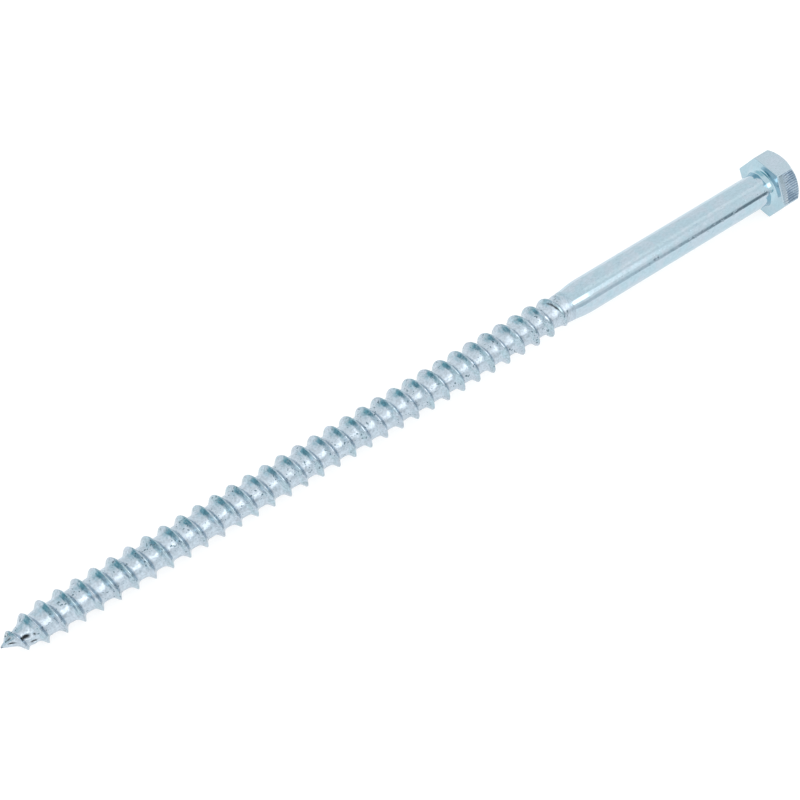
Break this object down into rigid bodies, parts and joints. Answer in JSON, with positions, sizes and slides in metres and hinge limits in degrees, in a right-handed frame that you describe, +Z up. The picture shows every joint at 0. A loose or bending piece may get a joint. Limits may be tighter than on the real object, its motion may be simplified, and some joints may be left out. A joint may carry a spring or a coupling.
{
  "type": "hex lag screw",
  "caption": "Hex head lag screw lying on its side: domed hexagonal head, plain shank, coarse right-handed wood thread and a gimlet point.",
  "frame": {"origin": "centre of the head's bearing face, on the screw's axis", "axes": "+X from the point towards the head, +Z up. The screw lies as it rests on a bench, so its axis slopes 0.69 degrees down towards the point and one flat of the head faces down"},
  "size_m": [0.2056, 0.015, 0.0131],
  "materials": {
    "zinc_plated_steel": "bright zinc plating with a cool blue tint"
  },
  "bodies": {
    "root": {"lag_screw": "zinc_plated_steel"}
  },
  "joints": []
}
